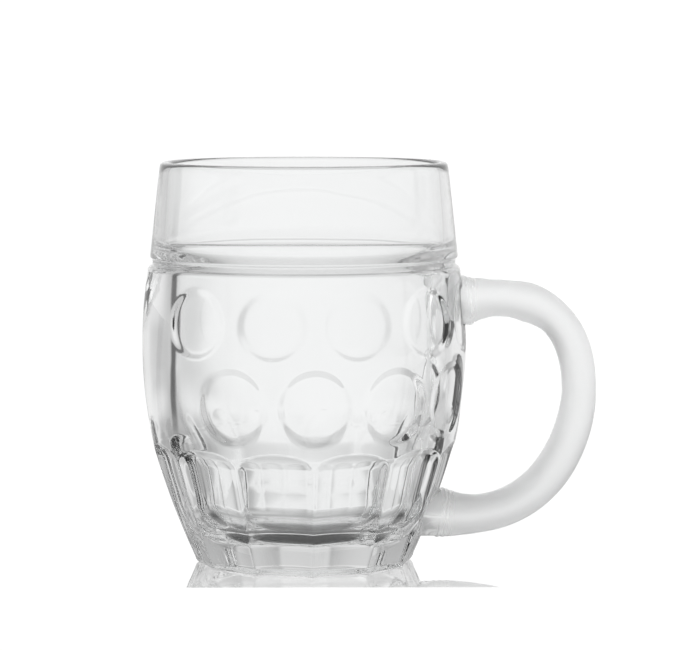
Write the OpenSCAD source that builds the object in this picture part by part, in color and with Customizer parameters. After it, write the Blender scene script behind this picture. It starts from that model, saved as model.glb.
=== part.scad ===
// Dimpled glass beer mug: a thick pressed body with a solid glass handle fused to its side.
// The mug stands on the XY plane, its axis is Z, and the handle points along +X.

/* [Overall] */
// Height from the table to the rim
mug_h = 128; // [116:1:144]

/* [Neck band] */
// Outside diameter at the rim
rim_d = 91.8; // [88:0.2:95]
// Outside diameter at the band's bottom edge
band_d = 98.2; // [97:0.2:100]
// Height of the band
band_h = 30.1; // [26:0.1:34]
// Thickness of the band's wall at the rim
rim_wall = 3.0; // [2.4:0.1:3.6]
// Thickness of the band's wall at the neck edge inside
band_wall = 4.2; // [3.6:0.1:4.8]
// Height of the neck edge inside
neck_z = 101; // [99.5:0.5:104]
// Height where the neck has narrowed to the barrel's cavity
neck_end_z = 85; // [82:0.5:88]
// Depth of the groove under the band
groove_depth = 1.4; // [0.8:0.1:2]
// Height of the groove
groove_h = 2.6; // [2:0.1:3.2]

/* [Barrel] */
// Largest outside diameter
barrel_d = 103.4; // [102:0.2:106]
// Height of the largest diameter
belly_z = 70; // [66:1:74]
// Radius of the barrel's upright curve
barrel_bow = 150; // [140:5:170]
// Thickness of the barrel's wall
barrel_wall = 10.5; // [9.5:0.1:11.5]
// Radius of the shoulder's edge under the groove
shoulder_round = 2.4; // [1.8:0.1:3]

/* [Dimples] */
// Dimples and flutes that a full turn would hold
pattern_count = 12; // [11:1:13]
// Dimples in the upper row, counted from the handle
upper_count = 5; // [1:1:8]
// Dimples in the lower row, counted from the handle
lower_count = 5; // [1:1:8]
// Height of the upper row
upper_z = 79.3; // [78:0.1:80.4]
// Width of an upper dimple
upper_w = 21.8; // [19:0.1:23]
// Height of an upper dimple
upper_h = 22.0; // [19:0.1:23]
// Height of the lower row
lower_z = 54.1; // [53:0.1:55.2]
// Width of a lower dimple
lower_w = 22.8; // [20:0.1:24]
// Height of a lower dimple
lower_h = 24.8; // [21:0.1:26]
// Depth of a dimple at its centre
dimple_depth = 1.7; // [1.3:0.1:2.2]

/* [Flutes and foot] */
// Height where the tapered lower part meets the barrel
taper_top_z = 37; // [35:0.5:38]
// Outside diameter at the foot
foot_d = 70.6; // [68:0.2:73]
// Height of the foot's rounded edge
foot_edge_h = 2.2; // [1.6:0.1:3]
// How far the taper bulges past a straight line
taper_bulge = 0.8; // [0.3:0.1:1.2]
// Hollow radius of a flute, seen from above
flute_hollow = 110; // [90:5:160]
// Height where a flute starts to run out
flute_end_z = 31; // [29:0.5:32]
// Radius of the run-out
flute_end_r = 25; // [20:1:30]
// Depth that is left uncut on the ridges between flutes
ridge_land = 0.2; // [0.1:0.05:0.4]
// Width of the ring that the mug stands on
foot_ring_w = 2.8; // [2:0.1:4]
// Depth of the hollow under the foot
punt_h = 1.8; // [1:0.1:2.6]

/* [Cavity] */
// Thickness of the glass under the cavity
floor_t = 10.5; // [9:0.1:13]
// Radius of the cavity's flat floor
floor_r = 21.5; // [19:0.5:24]
// Inside radius where the cavity's round bottom begins
bowl_r = 31.4; // [30:0.1:32.5]
// Height where the cavity's round bottom begins
bowl_z = 26; // [24:0.5:28]
// Inside radius where the taper meets the barrel
waist_r = 36.6; // [35.5:0.1:37.5]

/* [Handle] */
// Reach of the handle from the mug's axis
handle_reach = 94; // [90:0.2:98]
// Height of the handle's upper end, at its centre
handle_top_z = 82.4; // [81:0.2:84]
// Height that the upper bar's curve is pulled up towards
top_pull_z = 87.6; // [86:0.2:89]
// Height of the handle's outermost point
handle_mid_z = 54; // [52:0.2:58]
// Height that the lower bar's curve is pulled down towards
low_pull_z = 5.6; // [4.4:0.2:7]
// Height of the handle's lower end, at its centre
handle_low_z = 16.4; // [15.4:0.2:17.4]
// Thickness of the grip where it is thinnest
grip_t = 10.6; // [9.5:0.1:11.5]
// Width of the grip, across the mug
grip_w = 16.4; // [14:0.1:19]
// Height of the upper end where it meets the body
upper_root_h = 22; // [19:0.5:23]
// Height of the lower end where it meets the body
lower_root_h = 17; // [15:0.5:18]
// Width of both ends where they meet the body
root_w = 20; // [18:0.5:23]

/* [Hidden] */
$fn = 96;
overrun = 1; // how far a cutter runs past the glass
pitch = 360 / pattern_count;
arc_steps = 10;
taper_steps = 6;
glass_tint = [0.86, 0.91, 0.92, 0.45];

// Points along an arc: centre c, radius r, from angle a0 to angle a1
function arc(c, r, a0, a1, steps) =
    [for (i = [0:steps]) let (a = a0 + (a1 - a0) * i / steps) c + r * [cos(a), sin(a)]];

function mix(a, b, share) = a + (b - a) * share;

// Outside of the barrel
barrel_r = barrel_d / 2;
barrel_c = [barrel_r - barrel_bow, belly_z];
function barrel_at(z) = barrel_c.x + sqrt(pow(barrel_bow, 2) - pow(z - belly_z, 2));

// Heights of the edges, from the rim down
band_z = mug_h - band_h;
shoulder_z = band_z - groove_h;
lip_r = rim_wall / 2;

// Outside of the taper below the barrel, which is also the line of the ridges
taper_end = [barrel_at(taper_top_z), taper_top_z];
taper_foot = [foot_d / 2, foot_edge_h];
function taper_at(z) =
    let (u = (z - foot_edge_h) / (taper_top_z - foot_edge_h))
    mix(taper_foot.x, taper_end.x, u) + taper_bulge * 4 * u * (1 - u);

// The foot's edge is round, and ends on the ring that the mug stands on
foot_out_r = foot_d / 2 - foot_edge_h;
foot_in_r = foot_out_r - foot_ring_w;

// The shoulder turns in from the barrel to the groove's floor
groove_r = band_d / 2 - groove_depth;
groove_floor_share = 0.35;
groove_flank = groove_depth / 2;
function shoulder_arc() =
    let (edge = barrel_at(shoulder_z - shoulder_round))
    [for (a = [22.5:22.5:90])
        [edge - (edge - groove_r) * (1 - cos(a)), shoulder_z + shoulder_round * (sin(a) - 1)]];

// Outline of the body's outside, from the axis at the foot up to the top of the lip
function outside_outline() = concat(
    [[0, punt_h], [foot_in_r - punt_h, punt_h], [foot_in_r, 0], [foot_out_r, 0]],
    arc([foot_out_r, foot_edge_h], foot_edge_h, -72, 0, arc_steps / 2),
    [for (i = [1:taper_steps])
        let (z = mix(foot_edge_h, taper_top_z, i / taper_steps))
        [taper_at(z), z]],
    [for (i = [1:arc_steps])
        let (z = mix(taper_top_z, shoulder_z - shoulder_round, i / arc_steps))
        [barrel_at(z), z]],
    shoulder_arc(),
    [[groove_r, shoulder_z + groove_h * groove_floor_share], [groove_r, band_z - groove_flank]],
    [[band_d / 2, band_z]],
    arc([rim_d / 2 - lip_r, mug_h - lip_r], lip_r, 0, 90, arc_steps / 2)
);

// Outline of the cavity, from the lip down to the axis at the floor
band_slope = (band_d - rim_d) / 2 / (band_h - lip_r);
neck_r = rim_d / 2 + band_slope * (mug_h - lip_r - neck_z) - band_wall;
inner_belly_r = barrel_r - barrel_wall;
// How the wall runs, as height share and radius share: down the neck, then down the barrel
neck_shares = [[0, 0], [0.2, 0.13], [0.4, 0.42], [0.6, 0.7], [0.8, 0.9], [1, 1]];
wall_shares = [[1, 1], [0.75, 0.95], [0.5, 0.8], [0.25, 0.5], [0, 0]];
function cavity_outline() = concat(
    arc([rim_d / 2 - lip_r, mug_h - lip_r], lip_r, 108, 180, arc_steps / 2 - 1),
    [for (share = neck_shares)
        [mix(neck_r, inner_belly_r, share[1]), mix(neck_z, neck_end_z, share[0])]],
    [for (share = wall_shares)
        [mix(waist_r, inner_belly_r, share[1]), mix(taper_top_z, belly_z, share[0])]],
    [for (i = [arc_steps:-1:0])
        let (a = 90 * i / arc_steps)
        [mix(floor_r, bowl_r, sin(a)), mix(floor_t, bowl_z, 1 - cos(a))]],
    [[0, floor_t]]
);

// How far a dimple's cutter reaches from its centre, as a share of the dimple's size
cutter_share = 0.66;

// A cutter for one dimple. Its face is part of a ring surface, which meets the barrel in an oval.
module dimple(z, w, h, depth) {
    side_r = 1 / (8 * depth / pow(w, 2) - 1 / barrel_at(z));
    upright_r = 1 / (8 * depth / pow(h, 2) - 1 / barrel_bow);
    reach = barrel_at(z) - depth + side_r;
    side_reach = cutter_share * w;
    upright_reach = cutter_share * h;
    half = asin(side_reach / side_r);
    tilt = asin((z - belly_z) / barrel_bow);
    translate([barrel_at(z), 0, z])
        rotate([0, -tilt, 0])
            translate([reach - barrel_at(z), 0, 0])
                rotate([0, 0, 180 - half])
                    rotate_extrude(angle = 2 * half)
                        intersection() {
                            translate([side_r - upright_r, 0]) circle(r = upright_r, $fn = 4 * $fn);
                            translate([side_r - upright_reach, -upright_reach])
                                square([2 * upright_reach, 2 * upright_reach]);
                        }
}

// The two staggered rows run round the side that faces -Y. The other side is smooth.
module dimples() {
    for (i = [0:upper_count - 1])
        rotate([0, 0, -pitch * (i + 1 / 2)]) dimple(upper_z, upper_w, upper_h, dimple_depth);
    for (i = [0:lower_count - 1])
        rotate([0, 0, -pitch * i]) dimple(lower_z, lower_w, lower_h, dimple_depth);
}

// Radius at the middle of a flute, for a ridge of radius r
function flute_depth(r) =
    pow(r * sin(pitch / 2), 2) * (1 / r + 1 / flute_hollow) / 2 - ridge_land;
function flute_mid(z) = taper_at(z) - flute_depth(taper_at(z));

flute_axis = flute_mid(flute_end_z) + flute_hollow;
flute_slope = atan((flute_mid(flute_end_z) - flute_mid(foot_edge_h)) / (flute_end_z - foot_edge_h));
flute_half = asin(1.3 * barrel_r * sin(pitch / 2) / flute_hollow);
run_out_turn = 40;

// A cutter for one flute: hollow from above, straight down the taper, round where it runs out
module flute() {
    end_c = [flute_mid(flute_end_z) + flute_end_r * cos(flute_slope),
        flute_end_z - flute_end_r * sin(flute_slope)];
    line = concat(
        [[flute_mid(foot_edge_h) - foot_edge_h * tan(flute_slope) - overrun * tan(flute_slope), -overrun]],
        [for (i = [0:taper_steps - 1])
            let (z = mix(foot_edge_h, flute_end_z, i / taper_steps))
            [flute_mid(z), z]],
        arc(end_c, flute_end_r, 180 - flute_slope, 180 - flute_slope - run_out_turn, arc_steps / 2)
    );
    translate([flute_axis, 0, 0])
        rotate([0, 0, 180 - flute_half])
            rotate_extrude(angle = 2 * flute_half)
                polygon(concat(
                    [for (p = line) [flute_axis - p.x, p.y]],
                    [[flute_axis - barrel_r - overrun, line[len(line) - 1].y],
                        [flute_axis - barrel_r - overrun, -overrun]]
                ));
}

// The glass before its pattern: the solid of its outside, and the wall with its cavity
module blank() {
    rotate_extrude() polygon(concat(outside_outline(), [[0, mug_h]]));
}

module wall() {
    rotate_extrude() polygon(concat(outside_outline(), cavity_outline()));
}

// The wall with its first n flutes, cut one after another
module fluted_wall(n) {
    if (n == 0)
        wall();
    else
        difference() {
            fluted_wall(n - 1);
            rotate([0, 0, pitch * (n - 1 / 2)]) flute();
        }
}

module glass_body() {
    color(glass_tint)
        difference() {
            fluted_wall(pattern_count);
            dimples();
        }
}

// The handle's centre line is two Bezier curves that meet at the outermost point
grip_x = handle_reach - grip_t / 2;
root_x = barrel_d / 2 - barrel_wall / 2;
low_root_x = taper_at(handle_low_z) - barrel_wall / 3;
top_pull_share = 0.58;
mid_pull_share = 0.82;
low_mid_pull_share = 0.31;
low_pull_share = 0.765;
top_curve = [[root_x, handle_top_z],
    [mix(root_x, grip_x, top_pull_share), top_pull_z],
    [grip_x, mix(handle_mid_z, top_pull_z, mid_pull_share)],
    [grip_x, handle_mid_z]];
low_curve = [[grip_x, handle_mid_z],
    [grip_x, mix(handle_mid_z, low_pull_z, low_mid_pull_share)],
    [mix(low_root_x, grip_x, low_pull_share), low_pull_z],
    [low_root_x, handle_low_z]];

function bezier(p, t) =
    pow(1 - t, 3) * p[0] + 3 * pow(1 - t, 2) * t * p[1] + 3 * (1 - t) * t * t * p[2] + pow(t, 3) * p[3];
function bezier_dir(p, t) =
    let (d = pow(1 - t, 2) * (p[1] - p[0]) + 2 * (1 - t) * t * (p[2] - p[1]) + t * t * (p[3] - p[2]))
    d / norm(d);

// Along the handle s runs from 0 at the upper end through 1 at the grip to 2 at the lower end
function path(s) = s < 1 ? bezier(top_curve, s) : bezier(low_curve, s - 1);
function path_dir(s) = s < 1 ? bezier_dir(top_curve, s) : bezier_dir(low_curve, s - 1);

// Thickness and width swell towards both ends: place along the handle, then share of the swelling
thick_shares = [[0, 1], [0.06, 0.58], [0.12, 0.27], [0.2, 0.1], [0.3, 0.09], [0.4, 0.18], [0.5, 0.12],
    [0.6, 0.04], [0.8, 0.03], [1, 0], [1.2, 0.11], [1.45, 0.19], [1.7, 0.17], [1.82, 0.2], [1.88, 0.39],
    [1.94, 0.76], [2, 1]];
width_shares = [[0, 1], [0.1, 0.75], [0.25, 0.3], [0.5, 0.05], [1, 0], [1.6, 0.05], [1.8, 0.3],
    [1.92, 0.7], [2, 1]];
function thick_at(s) = mix(grip_t, s < 1 ? upper_root_h : lower_root_h, lookup(s, thick_shares));
function width_at(s) = mix(grip_w, root_w, lookup(s, width_shares));

// The section is a soft oval, a little fuller than an ellipse
section_sides = 20;
section_power = 0.86;
function full(v) = sign(v) * pow(abs(v), section_power);
function ring(s) =
    let (p = path(s), d = path_dir(s))
    [for (i = [0:section_sides - 1])
        let (a = 360 * i / section_sides,
            out = full(cos(a)) * thick_at(s) / 2,
            side = full(sin(a)) * width_at(s) / 2)
        [p.x - d.y * out, side, p.y + d.x * out]];

ring_count = 44;
function rings() = [for (i = [0:ring_count - 1]) ring(2 * i / (ring_count - 1))];

// Skins a stack of rings with triangles, and closes both ends
module skin(rows) {
    m = len(rows[0]);
    points = [for (row = rows) each row];
    sides = [for (i = [0:len(rows) - 2], j = [0:m - 1])
        let (k = (j + 1) % m, a = i * m + j, b = i * m + k, c = a + m, d = b + m)
        each [[a, b, d], [a, d, c]]];
    ends = [[for (j = [m - 1:-1:0]) j], [for (j = [0:m - 1]) (len(rows) - 1) * m + j]];
    polyhedron(points, concat(sides, ends), convexity = 4);
}

// The handle is fused on over the pattern, so its ends fill the dimple and the flutes that they cover
module handle() {
    color(glass_tint)
        difference() {
            skin(rings());
            difference() {
                blank();
                rotate([0, 0, pitch / 2]) flute();
                rotate([0, 0, -pitch / 2]) flute();
                rotate([0, 0, -pitch / 2]) dimple(upper_z, upper_w, upper_h, dimple_depth);
            }
        }
}

glass_body();
handle();
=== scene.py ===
import math
import time

import bpy
import numpy as np
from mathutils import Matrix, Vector
from mathutils.bvhtree import BVHTree


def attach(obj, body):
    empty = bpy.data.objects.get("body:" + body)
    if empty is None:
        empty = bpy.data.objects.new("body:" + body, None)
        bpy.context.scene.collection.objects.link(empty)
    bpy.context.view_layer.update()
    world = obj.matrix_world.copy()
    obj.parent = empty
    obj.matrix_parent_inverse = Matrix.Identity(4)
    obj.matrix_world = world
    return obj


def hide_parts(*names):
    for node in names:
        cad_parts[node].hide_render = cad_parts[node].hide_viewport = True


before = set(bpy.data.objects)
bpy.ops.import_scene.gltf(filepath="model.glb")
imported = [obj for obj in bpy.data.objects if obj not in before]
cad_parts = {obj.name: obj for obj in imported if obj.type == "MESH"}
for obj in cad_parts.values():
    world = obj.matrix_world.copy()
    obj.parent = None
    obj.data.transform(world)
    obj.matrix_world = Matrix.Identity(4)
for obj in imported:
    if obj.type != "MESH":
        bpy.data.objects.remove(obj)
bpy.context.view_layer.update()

# lengths are in mm in every dictionary, and angles in degrees from +X towards +Y
mm = 0.001
startTime = time.perf_counter()


def stage(text):
    print(f"scene {time.perf_counter() - startTime:.1f} s: {text}", flush=True)


def mix(low, high, share):
    return low + (high - low) * share


# the photo's camera: it stands in front of the dimples, turned a little round the mug
photoCamera = dict(
    azimuth=-4.0, distance=1069.0, height=167.0, aimX=11.0, aimZ=75.6,
    focalPixels=3357.0, photoPixels=677, sensor=36.0, clipMetres=(0.05, 50.0),
)


def makeCamera(s):
    a = math.radians(s["azimuth"])
    place = Vector((math.sin(a), -math.cos(a), 0)) * s["distance"] + Vector((0, 0, s["height"]))
    right = Vector((math.cos(a), math.sin(a), 0))
    aim = right * s["aimX"] + Vector((0, 0, s["aimZ"]))
    data = bpy.data.cameras.new("photoCamera")
    data.sensor_width = s["sensor"]
    data.lens = s["focalPixels"] / s["photoPixels"] * data.sensor_width
    data.clip_start, data.clip_end = s["clipMetres"]
    camera = bpy.data.objects.new("photoCamera", data)
    camera.location = place * mm
    camera.rotation_mode = "QUATERNION"
    camera.rotation_quaternion = (aim - place).to_track_quat("-Z", "Y")
    bpy.context.scene.collection.objects.link(camera)
    bpy.context.scene.camera = camera


makeCamera(photoCamera)
stage("camera")


# one output socket of a node tree, with the usual operators
class Socket:
    def __init__(self, tree, out):
        self.tree, self.out = tree, out

    def node(self, kind, *inputs, **settings):
        made = self.tree.nodes.new(kind)
        for name, value in settings.items():
            setattr(made, name, value)
        for i, value in enumerate(inputs):
            if isinstance(value, Socket):
                self.tree.links.new(value.out, made.inputs[i])
            else:
                made.inputs[i].default_value = value
        return made

    def math(self, operation, *inputs, clamp=False):
        made = self.node("ShaderNodeMath", self, *inputs, operation=operation, use_clamp=clamp)
        return Socket(self.tree, made.outputs[0])

    def __add__(self, other):
        return self.math("ADD", other)

    def __sub__(self, other):
        return self.math("SUBTRACT", other)

    def __rsub__(self, other):
        return (self * -1) + other

    def __mul__(self, other):
        return self.math("MULTIPLY", other)

    def __truediv__(self, other):
        return self.math("DIVIDE", other)

    def ramp(self, low, high, lowTo=0.0, highTo=1.0):
        made = self.tree.nodes.new("ShaderNodeMapRange")
        made.interpolation_type = "SMOOTHSTEP"
        self.tree.links.new(self.out, made.inputs["Value"])
        limits = {"From Min": low, "From Max": high, "To Min": lowTo, "To Max": highTo}
        for name, value in limits.items():
            made.inputs[name].default_value = value
        return Socket(self.tree, made.outputs[0])

    def split(self):
        made = self.node("ShaderNodeSeparateXYZ", self)
        return [Socket(self.tree, out) for out in made.outputs]


studio = dict(
    # brightness of the room by direction, at heights above the horizon in degrees
    walls=[
        (3, [(-180, 1.03), (-150, 1.14), (-120, 1.11), (-90, 0.96), (-30, 0.95), (0, 1.09),
             (15, 1.00), (30, 0.63), (45, 0.39), (60, 0.49), (90, 0.84), (105, 0.77), (120, 0.58),
             (135, 0.59), (139, 0.61), (142.5, 0.08), (145.5, 0.08), (150, 0.81), (180, 1.03)]),
        (13, [(-180, 0.84), (-150, 1.00), (-120, 1.01), (-60, 0.73), (0, 0.57), (30, 0.33),
              (60, 0.43), (90, 0.69), (120, 0.42), (139, 0.49), (142.5, 0.08), (145.5, 0.08),
              (150, 0.69), (180, 0.84)]),
        (30, [(-180, 0.58), (-120, 0.68), (0, 0.50), (30, 0.50), (90, 0.86), (120, 0.61),
              (150, 0.50), (180, 0.58)]),
        (65, [(-180, 0.75), (180, 0.75)]),
    ],
    # brightness of the glowing floor by direction, at distances from the mug's axis: painted light
    # and shade, with a painted shadow under the mug and its foot ring
    floorPaintedLightAndShade=[
        (18, [(-180, 0.03), (180, 0.03)]),
        (28, [(-180, 0.15), (-90, 0.05), (0, 0.45), (90, 0.73), (180, 0.15)]),
        (35, [(-180, 0.20), (-90, 0.4), (0, 0.20), (90, 0.67), (180, 0.20)]),
        (48, [(-180, 0.08), (-90, 0.26), (0, 0.08), (90, 0.43), (180, 0.08)]),
        (68, [(-180, 0.20), (-150, 0.40), (-60, 0.50), (0, 0.30), (60, 0.39), (120, 0.64),
              (180, 0.20)]),
        (107, [(-180, 0.49), (-90, 0.89), (-45, 0.95), (45, 0.58), (90, 0.60), (135, 0.33),
               (180, 0.49)]),
        (175, [(-180, 0.84), (-150, 1.07), (-90, 1.28), (-60, 1.25), (-30, 1.12), (0, 0.81),
               (60, 0.75), (90, 0.78), (120, 0.55), (139, 0.45), (142.5, 0.1), (145.5, 0.1),
               (150, 0.5), (180, 0.84)]),
        (315, [(-180, 0.78), (-150, 0.90), (-90, 0.98), (-30, 0.74), (0, 0.47), (30, 0.54),
               (60, 0.92), (90, 0.96), (139, 0.51), (142.5, 0.08), (145.5, 0.08), (150, 0.55),
               (180, 0.78)]),
        (600, [(-180, 0.88), (-90, 0.92), (-45, 0.81), (-30, 0.86), (15, 1.26), (45, 0.73),
               (60, 0.87), (90, 0.98), (105, 0.72), (135, 0.56), (139, 0.60), (142.5, 0.08),
               (145.5, 0.08), (150, 0.83), (165, 0.86), (180, 0.88)]),
    ],
    brightest=1.3,  # top of the curves' scale
    level=0.94,  # of all the light that the glass sees
    white=1.05,  # what the camera and the floor's mirror see
    mirrorRays=2.5,  # the world counts the floor's first mirror ray as 2
    floorSize=9000.0, floorDown=0.05, floorRoughness=0.02, floorIor=1.45, mirror=1.7,
    plateFront=54.4, plateSoft=1.5, plateBack=260.0, plateFade=0.6,
)


# one curve of brightness over a full turn
def brightness(turn, points):
    made = turn.tree.nodes.new("ShaderNodeFloatCurve")
    curve = made.mapping.curves[0]
    while len(curve.points) < len(points):
        curve.points.new(0.5, 0.5)
    for point, (angle, value) in zip(curve.points, points):
        point.location = ((angle + 180) / 360, value / studio["brightest"])
        point.handle_type = "AUTO_CLAMPED"
    made.mapping.update()
    turn.tree.links.new(turn.out, made.inputs["Value"])
    return Socket(turn.tree, made.outputs[0]) * studio["brightest"]


# the curves of a table, blended from one to the next by place
def layers(turn, place, table):
    light = brightness(turn, table[0][1])
    for (low, _), (high, points) in zip(table, table[1:]):
        light = mix(light, brightness(turn, points), place.ramp(low, high))
    return light


def turnShare(x, y):
    return (y.math("ARCTAN2", x) / (2 * math.pi)) + 0.5


def orWhite(light, white):
    return light * studio["level"] * (1 - white) + white * studio["white"]


def makeWorld():
    world = bpy.data.worlds.new("studio")
    bpy.context.scene.world = world
    world.use_nodes = True
    tree = world.node_tree
    tree.nodes.clear()
    direction = Socket(tree, tree.nodes.new("ShaderNodeTexCoord").outputs["Generated"])
    x, y, z = direction.split()
    light = layers(turnShare(x, y), z.math("ARCSINE") * (180 / math.pi), studio["walls"])
    # behind the mug, the camera and the floor's mirror see plain white
    path = tree.nodes.new("ShaderNodeLightPath").outputs
    glossy = Socket(tree, path["Is Glossy Ray"])
    through = Socket(tree, path["Is Transmission Ray"])
    early = Socket(tree, path["Ray Depth"]).math("LESS_THAN", studio["mirrorRays"])
    mirrored = glossy * (1 - through) * early
    strength = orWhite(light, Socket(tree, path["Is Camera Ray"]).math("MAXIMUM", mirrored))
    background = tree.nodes.new("ShaderNodeBackground")
    tree.links.new(strength.out, background.inputs["Strength"])
    background.inputs["Color"].default_value = (1, 1, 1, 1)
    out = tree.nodes.new("ShaderNodeOutputWorld")
    tree.links.new(background.outputs[0], out.inputs["Surface"])


# how much of a mirror the floor is: a plate that ends a little in front of the mug
def plateShare(x, y, distance):
    s = studio
    a = math.radians(photoCamera["azimuth"])
    front = x * math.sin(a) + y * -math.cos(a)
    edge, soft = s["plateFront"], s["plateSoft"]
    plate = front.ramp((edge - soft) * mm, (edge + soft) * mm, 1.0, 0.0)
    back = s["plateBack"]
    return plate * distance.ramp(back * s["plateFade"] * mm, back * mm, 1.0, 0.0)


def makeFloor():
    s = studio
    down = -s["floorDown"] * mm
    bpy.ops.mesh.primitive_plane_add(size=s["floorSize"] * mm, location=(0, 0, down))
    floor = bpy.context.object
    floor.name = "floor"
    # the floor glows with painted light and shade, darkest in a painted shadow under the mug
    material = bpy.data.materials.new("floorWithPaintedShade")
    material.use_nodes = True
    tree = material.node_tree
    tree.nodes.clear()
    place = Socket(tree, tree.nodes.new("ShaderNodeTexCoord").outputs["Object"])
    x, y, z = place.split()
    distance = (x * x + y * y).math("SQRT")
    # painted light and shade: rays through the glass see the floor's glow darkened under the mug as
    # a painted shadow, while the camera sees it plain white
    light = layers(turnShare(x, y), distance / mm, s["floorPaintedLightAndShade"])
    camera = Socket(tree, tree.nodes.new("ShaderNodeLightPath").outputs["Is Camera Ray"])
    glow = tree.nodes.new("ShaderNodeEmission")
    tree.links.new(orWhite(light, camera).out, glow.inputs["Strength"])
    gloss = tree.nodes.new("ShaderNodeBsdfGlossy")
    gloss.inputs["Roughness"].default_value = s["floorRoughness"]
    gloss.inputs["Color"].default_value = (1, 1, 1, 1)
    fresnel = tree.nodes.new("ShaderNodeFresnel")
    fresnel.inputs["IOR"].default_value = s["floorIor"]
    mirror = Socket(tree, fresnel.outputs[0]).math("MULTIPLY", s["mirror"], clamp=True)
    blend = tree.nodes.new("ShaderNodeMixShader")
    tree.links.new((plateShare(x, y, distance) * mirror).out, blend.inputs[0])
    tree.links.new(glow.outputs[0], blend.inputs[1])
    tree.links.new(gloss.outputs[0], blend.inputs[2])
    out = tree.nodes.new("ShaderNodeOutputMaterial")
    tree.links.new(blend.outputs[0], out.inputs["Surface"])
    floor.data.materials.append(material)


# a soft lamp, mostly for the frosted handle: no mirror image of it shows in the glass
softBox = dict(size=500.0, watts=2.0, place=(350.0, -520.0, 420.0), aim=(70.0, 0.0, 55.0))


def makeLamp(s):
    data = bpy.data.lights.new("softBox", "AREA")
    data.size = s["size"] * mm
    data.energy = s["watts"]
    lamp = bpy.data.objects.new("softBox", data)
    lamp.location = Vector(s["place"]) * mm
    lamp.rotation_mode = "QUATERNION"
    lamp.rotation_quaternion = (Vector(s["aim"]) * mm - lamp.location).to_track_quat("-Z", "Y")
    lamp.visible_glossy = lamp.visible_transmission = lamp.visible_camera = False
    bpy.context.scene.collection.objects.link(lamp)


makeWorld()
makeFloor()
makeLamp(softBox)
stage("studio")


body = dict(
    # outside, from the rim down
    height=128.0, rimR=45.9, lipR=1.5, bandR=49.1, bandZ=97.9, bandRound=0.8,
    grooveR=48.3, grooveH=2.6, grooveTop=0.75, grooveLow=0.5, grooveRound=0.4,
    shoulderFoot=0.35, shoulderRound=2.0, barrelR=51.7, bellyZ=70.0, bow=150.0,
    taperTop=37.0, taperStep=0.08, taperBulge=0.8, footR=35.3, footEdge=2.2,
    footRing=2.8, ringInset=0.3, punt=2.2, puntShare=0.97, dome=5.0, domeR=26.0,
    # inside
    wall=10.5, bandWall=4.2, neckZ=104.0, neckEnd=92.0, waistR=36.6,
    bowlR=33.5, bowlZ=25.0, floorR=18.5, floorT=10.2,
    wallShares=[(0.75, 0.95), (0.5, 0.8), (0.25, 0.5), (0, 0)],
    # two staggered rows of discs, each shifted by a share of the pitch
    pitch=30.0, discs=[
        dict(z=79.3, wide=22.5, tall=22.4, count=5, shift=0.5),
        dict(z=54.1, wide=23.6, tall=25.0, count=5, shift=0),
    ],
    discDepth=0.5, discDish=0.45, discRimFrom=0.79, discRimTo=1.0,
    # flutes: hollow seen from above, and the height and radius of the arch that ends them
    fluteHollow=60.0, ridgeLand=0.2, fluteSoft=0.06,
    frontFluteEnd=(34.5, 10.0), backFluteEnd=(30.0, 120.0),
    # the side with the discs is spun in finer steps
    fineFrom=-152.0, fineTurn=180.0, fineSteps=270, plainSteps=100,
    # arcs of the outline: from and to, and in how many steps
    lipArc=(90, 4, 8), insideLipArc=(100, 178, 6), footArc=(-12, -78, 5), puntArc=(-110, -165, 4),
    bandRoundSteps=5, grooveRoundSteps=3, shoulderFrom=78, bandShares=(0.08, 0.94), lipGap=2,
    # rows of points down the outline; the fine ones lie close to the corner at the taper's top
    bandRows=13, shoulderRows=9, barrelRows=73, cornerAbove=(5, 4.5, 0.5), cornerAboveRows=11,
    cornerBelow=(0.5, 4, 5), cornerBelowRows=8, taperRows=30, rimRows=5, neckRows=17,
    bowlRows=7, insideRows=44, domeRows=(26.0, 23.0, 20.0, 16.0, 12.0, 8.0, 4.0, 0.0),
    floorRows=(15.5, 12.0, 8.0, 4.0, 0.0),
    # the pattern is cut this close to the plain outline, and stops this far from its ends
    cutNear=0.6, cutBelowGroove=0.4, cutOutOf=29.5, mergeWithin=0.01,
)


def barrelAt(z):
    return body["barrelR"] - body["bow"] + np.sqrt(body["bow"] ** 2 - (z - body["bellyZ"]) ** 2)


def taperAt(z):
    u = (z - body["footEdge"]) / (body["taperTop"] - body["footEdge"])
    return mix(body["footR"], barrelAt(body["taperTop"]), u) + body["taperBulge"] * 4 * u * (1 - u)


def arcPoints(centre, radius, start, end, steps):
    turns = [math.radians(a) for a in np.linspace(start, end, steps + 1)]
    return [(centre[0] + radius * math.cos(a), centre[1] + radius * math.sin(a)) for a in turns]


# the arc that replaces a corner between two straight edges
def roundCorner(before, corner, after, radius, steps):
    b, c, a = (Vector(p) for p in (before, corner, after))
    inward, outward = (b - c).normalized(), (a - c).normalized()
    half = inward.angle(outward) / 2
    reach = radius / math.tan(half)
    start, end = c + inward * reach, c + outward * reach
    middle = (inward + outward).normalized() * (radius / math.sin(half)) + c
    first, last = start - middle, end - middle
    turn = first.angle_signed(last)
    made = []
    for i in range(steps + 1):
        a = -turn * i / steps
        x = first.x * math.cos(a) - first.y * math.sin(a)
        y = first.x * math.sin(a) + first.y * math.cos(a)
        made.append(tuple(middle + Vector((x, y))))
    return made


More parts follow.
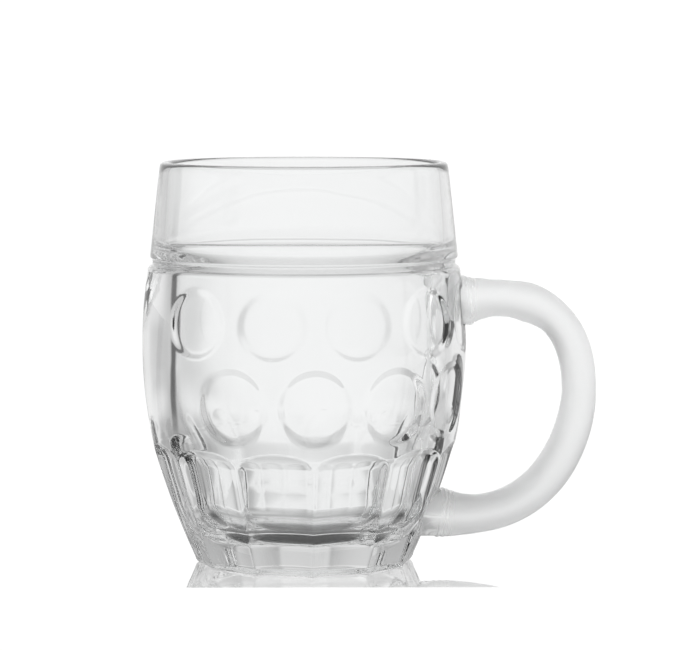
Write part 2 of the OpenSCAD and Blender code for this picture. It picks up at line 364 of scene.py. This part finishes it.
# lip, band, groove and shoulder
def upperOutside():
    s = body
    made = arcPoints((s["rimR"] - s["lipR"], s["height"] - s["lipR"]), s["lipR"], *s["lipArc"])
    top, bottom = made[-1], (s["bandR"], s["bandZ"])
    shares = np.linspace(*s["bandShares"], s["bandRows"])
    made += [(mix(top[0], bottom[0], t), mix(top[1], bottom[1], t)) for t in shares]
    grooveTop = (s["grooveR"], s["bandZ"] - s["grooveTop"])
    grooveLow = (s["grooveR"], s["bandZ"] - s["grooveH"] + s["grooveLow"])
    made += roundCorner(top, bottom, grooveTop, s["bandRound"], s["bandRoundSteps"])
    made += roundCorner(bottom, grooveTop, grooveLow, s["grooveRound"], s["grooveRoundSteps"])
    shoulderZ = s["bandZ"] - s["grooveH"]
    made.append((s["grooveR"], shoulderZ + s["shoulderFoot"]))
    edge = barrelAt(shoulderZ - s["shoulderRound"])
    for a in np.radians(np.linspace(s["shoulderFrom"], 0, s["shoulderRows"])):
        r = mix(edge, s["grooveR"], 1 - math.cos(a))
        made.append((r, shoulderZ + s["shoulderRound"] * (math.sin(a) - 1)))
    return made


# barrel, taper, foot ring and the hollow under the foot
def lowerOutside():
    s = body
    corner = s["taperTop"]
    high, from1, to1 = (corner + v for v in s["cornerAbove"])
    from2, to2, low = (corner - v for v in s["cornerBelow"])
    shoulder = s["bandZ"] - s["grooveH"] - s["shoulderRound"]
    above = [*np.linspace(shoulder, high, s["barrelRows"])[1:],
             *np.linspace(from1, to1, s["cornerAboveRows"])]
    below = [*np.linspace(from2, to2, s["cornerBelowRows"]),
             *np.linspace(low, s["footEdge"], s["taperRows"])]
    made = [(barrelAt(z), z) for z in above]
    made.append((barrelAt(corner) - s["taperStep"], corner))
    made += [(taperAt(z), z) for z in below]
    ringOut = s["footR"] - s["footEdge"]
    ringIn = ringOut - s["footRing"]
    made += arcPoints((ringOut, s["footEdge"]), s["footEdge"], *s["footArc"])
    made += [(ringOut, 0.0), (ringIn + s["ringInset"], 0.0)]
    made += arcPoints((ringIn + s["ringInset"], s["punt"]), s["punt"], *s["puntArc"])
    made.append((ringIn - s["punt"], s["punt"] * s["puntShare"]))
    rise = s["dome"] - s["punt"]
    made += [(r, s["dome"] - rise * (r / s["domeR"]) ** 2) for r in s["domeRows"]]
    return made


# a curve through the given points, as evenly spaced points
def smoothThrough(points, count, between=30):
    p = np.array(points)
    p = np.vstack([2 * p[0] - p[1], p, 2 * p[-1] - p[-2]])
    dense = []
    for a, b, c, d in zip(p, p[1:], p[2:], p[3:]):
        for t in np.linspace(0, 1, between, endpoint=False):
            square = (2 * a - 5 * b + 4 * c - d) * t * t
            cube = (3 * b - a - 3 * c + d) * t ** 3
            dense.append(0.5 * (2 * b + (c - a) * t + square + cube))
    dense = np.array([*dense, p[-2]])
    steps = np.linalg.norm(np.diff(dense, axis=0), axis=1)
    along = np.concatenate([[0], np.cumsum(steps)])
    at = np.linspace(0, along[-1], count)
    return [(np.interp(v, along, dense[:, 0]), np.interp(v, along, dense[:, 1])) for v in at]


# cavity: lip, neck, wall, bowl and flat bottom
def insideOutline():
    s = body
    lipZ = s["height"] - s["lipR"]
    made = arcPoints((s["rimR"] - s["lipR"], lipZ), s["lipR"], *s["insideLipArc"])
    inner = s["barrelR"] - s["wall"]
    rimIn = s["rimR"] - 2 * s["lipR"]
    bandH = lipZ - s["bandZ"]
    growth = (s["bandR"] - s["rimR"]) / bandH - (s["bandWall"] - 2 * s["lipR"]) / bandH
    rim = np.linspace(lipZ - s["lipGap"], s["neckZ"], s["rimRows"])
    neck = np.linspace(s["neckZ"], s["neckEnd"], s["neckRows"])
    for z in (*rim, *neck[1:]):
        along = np.clip((s["neckZ"] - z) / (s["neckZ"] - s["neckEnd"]), 0, 1)
        share = along ** 3 * (10 - 15 * along + 6 * along * along)
        made.append((mix(rimIn + growth * (lipZ - z), inner, share), float(z)))
    low = [(inner, s["bellyZ"])]
    for up, out in s["wallShares"]:
        low.append((mix(s["waistR"], inner, out), mix(s["taperTop"], s["bellyZ"], up)))
    for a in [math.radians(a) for a in np.linspace(90, 0, s["bowlRows"])]:
        r = mix(s["floorR"], s["bowlR"], math.sin(a))
        low.append((r, mix(s["floorT"], s["bowlZ"], 1 - math.cos(a))))
    made += smoothThrough([made[-1]] + low, s["insideRows"])[1:]
    made += [(r, s["floorT"]) for r in s["floorRows"]]
    return made


# how far a disc lies under the barrel's surface: nearly flat, with a soft rim
def discAt(angle, z, centreAngle, disc):
    s = body
    turn = np.radians((angle - centreAngle + 180) % 360 - 180)
    u = barrelAt(disc["z"]) * np.sin(turn) / (disc["wide"] / 2)
    lean = np.sqrt(1 - ((disc["z"] - s["bellyZ"]) / s["bow"]) ** 2)
    v = (z - disc["z"]) / (disc["tall"] / 2) / lean
    farOff = 9.0  # the other side of the mug has no disc
    away = np.where(np.abs(turn) < math.pi / 2, np.sqrt(u * u + v * v), farOff)
    rim = np.clip((s["discRimTo"] - away) / (s["discRimTo"] - s["discRimFrom"]), 0, 1)
    dish = np.clip(1 - away * away, 0, None)
    return s["discDepth"] * rim * rim * (3 - 2 * rim) + s["discDish"] * dish


# radius at the middle of a flute
def fluteMid(z):
    r = taperAt(z)
    half = math.radians(body["pitch"] / 2)
    hollow = (r * math.sin(half)) ** 2 * (1 / r + 1 / body["fluteHollow"]) / 2
    return r - (hollow - body["ridgeLand"])


# how far each flute lies under the plain outline, at every point
def fluteDepths(angle, z, outside):
    s = body
    count = round(360 / s["pitch"])
    tiny, noFlute, endless = 1e-6, -9.0, 99.0
    archShare, reach = 0.98, 0.6  # of the arch's radius, and in radians to each side
    depths = []
    for k in range(count):
        endAt, endR = s["frontFluteEnd"] if k >= count / 2 else s["backFluteEnd"]
        slope = math.atan((fluteMid(endAt) - fluteMid(s["footEdge"])) / (endAt - s["footEdge"]))
        endX = fluteMid(endAt) + endR * math.cos(slope)
        endZ = endAt - endR * math.sin(slope)
        below = np.clip(s["footEdge"] - z, 0, None) * math.tan(slope)
        low = fluteMid(np.clip(z, s["footEdge"], endAt)) - below
        high = endX - np.sqrt(np.clip(endR ** 2 - (z - endZ) ** 2, tiny, None))
        mid = np.where(z > endAt, high, low)
        mid = np.where(z - endZ > endR * archShare, endless, mid)
        turn = np.radians((angle - s["pitch"] * (k + 0.5) + 180) % 360 - 180)
        axis = fluteMid(endAt) + s["fluteHollow"]
        inside = (axis - mid) ** 2 - (axis * np.sin(turn)) ** 2
        r = axis * np.cos(turn) - np.sqrt(np.clip(inside, 0, None))
        depths.append(np.where((np.abs(turn) < reach) & (inside > 0), outside - r, noFlute))
    return depths


# the greatest of all values, with the changeover rounded
def softMax(values, soft, lowest=-40):
    values = [np.clip(v, lowest * soft, None) for v in values]
    high = np.maximum.reduce(values)
    return high + soft * np.log(sum(np.exp((v - high) / soft) for v in values))


# sinks the discs and the flutes into the body's outside
def carve(mesh):
    s = body
    co = np.empty(len(mesh.vertices) * 3)
    mesh.vertices.foreach_get("co", co)
    co = co.reshape(-1, 3) / mm
    r, z = np.hypot(co[:, 0], co[:, 1]), co[:, 2]
    angle = np.degrees(np.arctan2(co[:, 1], co[:, 0]))
    blank = np.where(z < s["taperTop"], taperAt(z), barrelAt(z))
    below = z < s["bandZ"] - s["grooveH"] - s["cutBelowGroove"]
    outside = (np.abs(r - blank) < s["cutNear"]) & (z > s["footEdge"]) & below
    edge = (z <= s["footEdge"]) & (r > s["domeR"])
    sunk = np.zeros_like(r)
    for disc in s["discs"]:
        for i in range(disc["count"]):
            sunk = np.maximum(sunk, discAt(angle, z, -s["pitch"] * (i + disc["shift"]), disc))
    depths = fluteDepths(angle, z, np.where(edge, r, blank))
    total = sunk * (z > s["taperTop"]) + softMax([np.zeros_like(r), *depths], s["fluteSoft"])
    total = np.where(outside | edge, total, 0)
    total = np.where(edge, np.minimum(total, np.clip(r - s["cutOutOf"], 0, None)), total)
    scale = (r - total) / np.maximum(r, 1e-6)
    co[:, 0] *= scale
    co[:, 1] *= scale
    mesh.vertices.foreach_set("co", (co * mm).ravel())
    mesh.update()


# leaves only the wanted edges selected, in edit mode
def pickEdges(piece, wanted):
    bpy.ops.object.mode_set(mode="EDIT")
    bpy.ops.mesh.select_mode(type="EDGE")
    bpy.ops.mesh.select_all(action="DESELECT")
    bpy.ops.object.mode_set(mode="OBJECT")
    for edge in piece.data.edges:
        edge.select = wanted(edge)
    bpy.ops.object.mode_set(mode="EDIT")


# an open outline, drawn on a circle's vertices, and spun round the mug's axis
def spunSheet(outline, start, turn, steps):
    start = math.radians(start)
    bpy.ops.object.select_all(action="DESELECT")
    bpy.ops.mesh.primitive_circle_add(vertices=len(outline), radius=body["barrelR"] * mm)
    piece = bpy.context.object
    ends = {0, len(outline) - 1}
    pickEdges(piece, lambda edge: set(edge.vertices) == ends)
    bpy.ops.mesh.delete(type="EDGE")
    bpy.ops.object.mode_set(mode="OBJECT")
    for vertex, (r, z) in zip(piece.data.vertices, outline):
        vertex.co = (r * mm * math.cos(start), r * mm * math.sin(start), z * mm)
    screw = piece.modifiers.new("spin", "SCREW")
    screw.angle = math.radians(turn)
    screw.steps = screw.render_steps = steps
    bpy.ops.object.modifier_apply(modifier=screw.name)
    return piece


# merges what touches, and turns the faces outwards
def closeUp(mergeWithin):
    bpy.ops.object.mode_set(mode="EDIT")
    bpy.ops.mesh.select_all(action="SELECT")
    bpy.ops.mesh.remove_doubles(threshold=mergeWithin * mm)
    bpy.ops.mesh.normals_make_consistent(inside=False)
    bpy.ops.object.mode_set(mode="OBJECT")


def makeBody(s):
    outline = (upperOutside() + lowerOutside())[::-1] + insideOutline()
    plainFrom = s["fineFrom"] + s["fineTurn"]
    plain = spunSheet(outline, plainFrom, 360 - s["fineTurn"], s["plainSteps"])
    piece = spunSheet(outline, s["fineFrom"], s["fineTurn"], s["fineSteps"])
    plain.select_set(True)
    bpy.ops.object.join()
    closeUp(s["mergeWithin"])
    carve(piece.data)
    bpy.ops.object.shade_smooth()
    piece.name = piece.data.name = "glassBody"
    return piece


glassBody = makeBody(body)
stage(f"body, {len(glassBody.data.polygons)} faces")


handle = dict(
    # course of the rod: its ends, its grip and how far they pull
    reach=94.0, topZ=82.4, topPullZ=87.6, midZ=54.0, lowPullZ=5.6, lowZ=16.4,
    topPull=0.58, midPull=0.82, lowMidPull=0.31, lowPull=0.765,
    # cross-section: 0 is the upper root, 1 the grip and 2 the lower root
    gripT=10.6, gripW=16.4, upperRootH=22.0, lowerRootH=17.0, rootW=20.0, power=0.86,
    thick=[(0, 1), (0.06, 0.58), (0.12, 0.27), (0.2, 0.1), (0.3, 0.09), (0.4, 0.18), (0.5, 0.12),
           (0.6, 0.04), (0.8, 0.03), (1, 0), (1.2, 0.11), (1.45, 0.19), (1.7, 0.17), (1.82, 0.2),
           (1.88, 0.39), (1.94, 0.76), (2, 1)],
    width=[(0, 1), (0.1, 0.75), (0.25, 0.3), (0.5, 0.05), (1, 0), (1.6, 0.05), (1.8, 0.3),
           (1.92, 0.7), (2, 1)],
    # folds of the hot glass beside the body, whose wall leans by this much there
    lean=0.107, fold=0.18, foldFrom=42.3, foldLength=3.2, foldPitch=1.6, foldDrift=1.2,
    # mesh: rings crowd towards the roots, and both caps sink a little into the body
    cuts=13, sides=48, capRings=5, crowd=0.75, searchSteps=401, outX=70.0, freeBy=0.4, sink=0.15,
    mergeWithin=0.001,
)


def bezier(p, t):
    p = [np.array(v) for v in p]
    outer = (1 - t) ** 3 * p[0] + 3 * (1 - t) ** 2 * t * p[1]
    return outer + 3 * (1 - t) * t * t * p[2] + t ** 3 * p[3]


def bezierDirection(p, t):
    p = [np.array(v) for v in p]
    d = (1 - t) ** 2 * (p[1] - p[0]) + 2 * (1 - t) * t * (p[2] - p[1]) + t * t * (p[3] - p[2])
    return d / np.linalg.norm(d)


# the rod's upper and lower half, from the body to the grip and back
def handleCurves():
    s = handle
    gripX = s["reach"] - s["gripT"] / 2
    rootX = body["barrelR"] - body["wall"] / 2
    lowX = taperAt(s["lowZ"]) - body["wall"] / 3
    grip = (gripX, s["midZ"])
    top = [(rootX, s["topZ"]), (mix(rootX, gripX, s["topPull"]), s["topPullZ"]),
           (gripX, mix(s["midZ"], s["topPullZ"], s["midPull"])), grip]
    low = [grip, (gripX, mix(s["midZ"], s["lowPullZ"], s["lowMidPull"])),
           (mix(lowX, gripX, s["lowPull"]), s["lowPullZ"]), (lowX, s["lowZ"])]
    return top, low


def valueAt(table, t):
    return float(np.interp(t, [k for k, v in table], [v for k, v in table]))


# the rod's cross-section at one place along its course
def rodRing(t):
    s = handle
    curve, along = (handleCurves()[0], t) if t < 1 else (handleCurves()[1], t - 1)
    p, d = bezier(curve, along), bezierDirection(curve, along)
    rootH = s["upperRootH"] if t < 1 else s["lowerRootH"]
    thick = mix(s["gripT"], rootH, valueAt(s["thick"], t))
    wide = mix(s["gripW"], s["rootW"], valueAt(s["width"], t))
    leaning = p[0] - s["lean"] * p[1]
    near = min(1.0, max(0.0, 1 - (leaning - s["foldFrom"]) / s["foldLength"]))
    ring = []
    for j in range(s["sides"]):
        a = 2 * math.pi * j / s["sides"]
        turns = 2 * math.pi * leaning / s["foldPitch"] + s["foldDrift"] * math.sin(3 * a)
        fold = s["fold"] * near * math.sin(turns)
        upright, across = (
            math.copysign(abs(v) ** s["power"], v) for v in (math.cos(a), math.sin(a)))
        out = upright * (thick / 2 + fold)
        ring.append(Vector((p[0] - d[1] * out, across * (wide / 2 + fold), p[1] + d[0] * out)) * mm)
    return ring


# rows of points: each end's cap, seated on the body, and the free rod between them
def handleRows(seat):
    s = handle

    def isFree(t):
        return all(v.x > seat(v).x + s["freeBy"] * mm for v in rodRing(t))

    turns = np.linspace(0, 2, s["searchSteps"])
    first = next(t for t in turns if isFree(t))
    last = next(t for t in turns[::-1] if isFree(t))
    count = (s["cuts"] + 1) ** 2 + 1 - 2 * (s["capRings"] + 1)
    rows = []
    for u in np.linspace(-1, 1, count):
        crowded = u * (1 - s["crowd"]) + math.copysign(1 - (1 - abs(u)) ** 2, u) * s["crowd"]
        rows.append(rodRing(float((first + last) / 2 + (last - first) / 2 * crowded)))
    return cap(rows[0], seat)[::-1] + rows + cap(rows[-1], seat)


# rings on the body, from the rod's end to the middle of the root
def cap(end, seat):
    rim = [seat(v) for v in end]
    middle = sum(rim, Vector()) / len(rim)
    rings = handle["capRings"]
    return [rim] + [[seat(mix(middle, v, 1 - k / rings)) for v in rim] for k in range(1, rings + 1)]


def makeHandle(s):
    corners = [v.co.copy() for v in glassBody.data.vertices]
    glass = BVHTree.FromPolygons(corners, [p.vertices[:] for p in glassBody.data.polygons])

    # straight along X onto the body's outside, and a little into it
    def seat(point):
        start = Vector((s["outX"] * mm, point.y, point.z))
        hit = glass.ray_cast(start, Vector((-1, 0, 0)))[0]
        return Vector((hit.x - s["sink"] * mm, point.y, point.z)) if hit else point

    rows = handleRows(seat)
    bpy.ops.object.select_all(action="DESELECT")
    bpy.ops.mesh.primitive_cylinder_add(
        vertices=s["sides"], radius=s["gripT"] / 2 * mm, depth=1.0, end_fill_type="NOTHING")
    piece = bpy.context.object

    def isUpright(edge):
        low, high = (piece.data.vertices[v].co.z for v in edge.vertices)
        return abs(low - high) > 0.001

    # a plain tube from -0.5 to 0.5, cut twice, has one ring for each row
    for again in range(2):
        pickEdges(piece, isUpright)
        bpy.ops.mesh.subdivide(number_cuts=s["cuts"])
        bpy.ops.object.mode_set(mode="OBJECT")
    for vertex in piece.data.vertices:
        row = round((vertex.co.z + 0.5) * (len(rows) - 1))
        turn = math.atan2(vertex.co.y, vertex.co.x) / (2 * math.pi)
        vertex.co = rows[row][round(turn * s["sides"]) % s["sides"]]
    closeUp(s["mergeWithin"])
    bpy.ops.object.shade_smooth()
    piece.name = piece.data.name = "glassHandle"
    return piece


glassHandle = makeHandle(handle)
stage(f"handle, {len(glassHandle.data.polygons)} faces")


# clear glass with a faint wave and a trace of film
bodyGlass = dict(
    tint=(0.985, 0.99, 0.99), clear=1.0, ior=1.5, wave=0.08, waveScale=55.0, waveDetail=1.0,
    film=(0.0, 0.01), filmFrom=0.35, filmTo=0.75, filmScale=40.0, filmDetail=3.0,
)
# frosted glass, clear where it meets the leaning body
handleGlass = dict(
    tint=(0.99, 0.995, 0.995), clear=0.8, ior=1.5, wave=0.1, waveScale=60.0, waveDetail=1.0,
    frost=0.3, clearTo=44.3, frostFrom=45.6,
)


def makeNoise(place, scale, detail):
    noise = place.tree.nodes.new("ShaderNodeTexNoise")
    place.tree.links.new(place.out, noise.inputs["Vector"])
    noise.inputs["Scale"].default_value = scale
    noise.inputs["Detail"].default_value = detail
    return Socket(place.tree, noise.outputs[0])


def makeGlass(name, s):
    material = bpy.data.materials.new(name)
    material.use_nodes = True
    tree = material.node_tree
    shader = tree.nodes["Principled BSDF"]
    shader.inputs["Transmission Weight"].default_value = s["clear"]
    shader.inputs["IOR"].default_value = s["ior"]
    shader.inputs["Base Color"].default_value = (*s["tint"], 1.0)
    place = Socket(tree, tree.nodes.new("ShaderNodeTexCoord").outputs["Object"])
    bump = tree.nodes.new("ShaderNodeBump")
    bump.inputs["Strength"].default_value = 1.0
    bump.inputs["Distance"].default_value = s["wave"] * mm
    ripple = makeNoise(place, s["waveScale"], s["waveDetail"])
    tree.links.new(ripple.out, bump.inputs["Height"])
    tree.links.new(bump.outputs[0], shader.inputs["Normal"])
    if "frost" in s:
        x, y, z = place.split()
        leaning = x - z * handle["lean"]
        rough = leaning.ramp(s["clearTo"] * mm, s["frostFrom"] * mm) * s["frost"]
    else:
        film = makeNoise(place, s["filmScale"], s["filmDetail"])
        rough = film.ramp(s["filmFrom"], s["filmTo"], *s["film"])
    tree.links.new(rough.out, shader.inputs["Roughness"])
    return material


glassBody.data.materials.append(makeGlass("bodyGlass", bodyGlass))
glassHandle.data.materials.append(makeGlass("handleGlass", handleGlass))

for piece, node, slot in (
    (glassBody, "glass_body", "body_glass"),
    (glassHandle, "handle", "handle_glass"),
):
    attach(piece, "root")
    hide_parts(node)
stage("materials")

# light passes many walls of glass, and the picture is shown without a film look
scene = bpy.context.scene
scene.view_settings.view_transform = "Standard"
scene.cycles.max_bounces = scene.cycles.transmission_bounces = 32
scene.cycles.glossy_bounces = 12
scene.cycles.caustics_refractive = scene.cycles.caustics_reflective = True
scene.cycles.blur_glossy = 0.0
